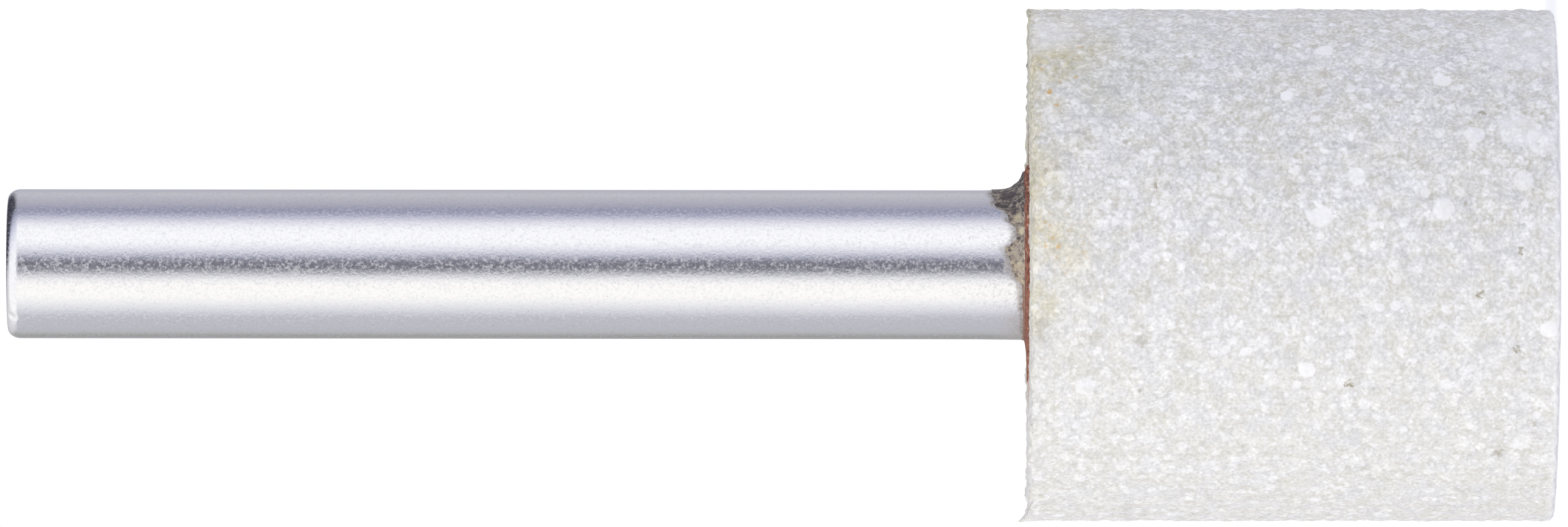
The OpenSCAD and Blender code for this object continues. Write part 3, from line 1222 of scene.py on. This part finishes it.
def blend_stops(azimuth, stops):
    """Colours at the given azimuths, from a list of azimuths and colours."""
    knots = np.array([angle for angle, _ in stops], dtype=float)
    tints = np.array([tint for _, tint in stops])
    return np.stack([np.interp(azimuth, knots, tints[:, i]) for i in range(3)], axis=-1)


def build_tent(settings):
    """A round tent of light and grey panels with a lid, which only shiny surfaces show."""
    turns = 180
    azimuth = np.linspace(-180.0, 180.0, turns, endpoint=False)
    angles = np.radians(-90.0 - azimuth)
    reach = settings.tent_radius
    lid_z = LID_HEIGHT * reach
    wall = blend_stops(azimuth, TENT_STOPS)
    upper = blend_stops(azimuth, LID_STOPS)
    levels = ((-reach, wall), (WALL_TOP * reach, wall), (UPPER_START * reach, upper), (lid_z, upper))
    points = np.concatenate([polar(reach, angles, z) for z, _ in levels] + [[[0.0, 0.0, lid_z]]])
    glow = np.concatenate([tint for _, tint in levels] + [[LID_CENTRE]])
    faces = fan_faces(len(levels) * turns, (len(levels) - 1) * turns, turns, True)
    for i in range(len(levels) - 1):
        faces += strip_faces(i * turns, (i + 1) * turns, turns)
    material, s = new_material("tent_panels")
    light = s.add("ShaderNodeEmission", Color=s.values("glow", "Color"), Strength=1.0)
    s.end(light.outputs["Emission"])
    material.cycles.emission_sampling = "NONE"
    tent = mesh_object("light_tent", points, faces, material)
    attribute = tent.data.attributes.new("glow", "FLOAT_COLOR", "POINT")
    packed = np.concatenate([glow, np.ones((len(glow), 1))], axis=1)
    attribute.data.foreach_set("color", packed.astype(np.float32).ravel())
    tent.visible_camera = False
    tent.visible_diffuse = False
    tent.visible_transmission = False
    tent.visible_shadow = False


def white_rays(s):
    """1 for the rays that see the background: from the camera, off gloss and through glass."""
    path = s.add("ShaderNodeLightPath").outputs
    return s.most(path["Is Camera Ray"], s.most(path["Is Glossy Ray"], path["Is Transmission Ray"]))


def build_world(settings):
    """White behind the part, and soft cool light on matt surfaces."""
    world = bpy.data.worlds.new("studio")
    bpy.context.scene.world = world
    world.use_nodes = True
    s = Shader(world.node_tree)
    tint = s.mix(white_rays(s), settings.ambient, WHITE)
    light = s.add("ShaderNodeBackground", Color=tint, Strength=1.0)
    s.end(light.outputs["Background"], "ShaderNodeOutputWorld")


def build_floor(settings):
    """A white floor that keeps the part's shadow."""
    turns = 128
    ring = polar(settings.floor_radius, round_angles(turns), 0.0)
    points = np.concatenate([ring, [[0.0, 0.0, 0.0]]])
    material, s = new_material("white_floor")
    paint = s.add("ShaderNodeBsdfDiffuse", Color=FLOOR_PAINT)
    glow = s.add("ShaderNodeEmission", Color=WHITE, Strength=s.times(white_rays(s), FLOOR_GLOW))
    both = s.add("ShaderNodeAddShader")
    s.feed(both.inputs[0], paint.outputs["BSDF"])
    s.feed(both.inputs[1], glow.outputs["Emission"])
    s.end(both.outputs["Shader"])
    material.cycles.emission_sampling = "NONE"
    floor = mesh_object("floor", points, fan_faces(turns, 0, turns, True), material)
    floor.location.z = CAD_LOW.z
    floor.visible_diffuse = False
    floor.visible_glossy = False


# Operators


def settle(piece, node):
    """Puts a piece in the place of its node."""
    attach(piece, BODY)
    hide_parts(node)


class MOUNTEDPOINT_OT_head(bpy.types.Operator):
    """Build the abrasive head"""

    bl_idname = "mountedpoint.head"
    bl_label = "Abrasive Head"

    def execute(self, context):
        settle(build_head(context.scene.mounted_point.head), "abrasive_head")
        return {"FINISHED"}


class MOUNTEDPOINT_OT_shank(bpy.types.Operator):
    """Build the steel shank"""

    bl_idname = "mountedpoint.shank"
    bl_label = "Steel Shank"

    def execute(self, context):
        settings = context.scene.mounted_point
        settle(build_shank(settings.shank, settings.collar), "shank")
        return {"FINISHED"}


class MOUNTEDPOINT_OT_cement(bpy.types.Operator):
    """Build the red-brown cement of the joint"""

    bl_idname = "mountedpoint.cement"
    bl_label = "Joint Cement"

    def execute(self, context):
        settings = context.scene.mounted_point
        settle(build_cement(settings.cement, settings.shank), "bonding_cement")
        return {"FINISHED"}


class MOUNTEDPOINT_OT_collar(bpy.types.Operator):
    """Build the grey-brown bead round the shank"""

    bl_idname = "mountedpoint.collar"
    bl_label = "Cement Bead"

    def execute(self, context):
        settle(build_collar(context.scene.mounted_point.collar), "cement_collar")
        return {"FINISHED"}


class MOUNTEDPOINT_OT_stage(bpy.types.Operator):
    """Build the camera, lights, floor and background"""

    bl_idname = "mountedpoint.stage"
    bl_label = "Studio Stage"

    def execute(self, context):
        settings = context.scene.mounted_point.stage
        context.scene.view_settings.view_transform = "Standard"
        build_camera(settings)
        build_world(settings)
        build_floor(settings)
        build_tent(settings)
        build_softbox("cool_softbox", -35.0, BOX_RISE, settings.cool_box, (0.88, 0.93, 1.0))
        build_softbox("warm_softbox", 48.0, BOX_RISE, settings.warm_box, (1.0, 0.97, 0.84))
        build_softbox("high_softbox", 90.0, HIGH_BOX_RISE, settings.high_box, (1.0, 0.98, 0.94))
        return {"FINISHED"}


class MOUNTEDPOINT_PT_panel(bpy.types.Panel):
    """Lists the pieces of the mounted point"""

    bl_label = "Mounted Point"
    bl_idname = "MOUNTEDPOINT_PT_panel"
    bl_space_type = "VIEW_3D"
    bl_region_type = "UI"
    bl_category = "Mounted Point"

    def draw(self, context):
        for operator in OPERATORS:
            self.layout.operator(operator.bl_idname)


OPERATORS = (
    MOUNTEDPOINT_OT_stage,
    MOUNTEDPOINT_OT_head,
    MOUNTEDPOINT_OT_shank,
    MOUNTEDPOINT_OT_cement,
    MOUNTEDPOINT_OT_collar,
)
CLASSES = (
    HeadSettings,
    ShankSettings,
    CementSettings,
    CollarSettings,
    StageSettings,
    MountedPointSettings,
    *OPERATORS,
    MOUNTEDPOINT_PT_panel,
)


def register():
    """Registers the classes and the settings."""
    for item in CLASSES:
        bpy.utils.register_class(item)
    bpy.types.Scene.mounted_point = PointerProperty(type=MountedPointSettings)


def unregister():
    """Takes the settings and the classes out again."""
    del bpy.types.Scene.mounted_point
    for item in reversed(CLASSES):
        bpy.utils.unregister_class(item)


def main():
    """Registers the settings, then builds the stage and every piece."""
    register()
    bpy.ops.mountedpoint.stage()
    bpy.ops.mountedpoint.head()
    bpy.ops.mountedpoint.shank()
    bpy.ops.mountedpoint.cement()
    bpy.ops.mountedpoint.collar()


if __name__ == "__main__":
    main()
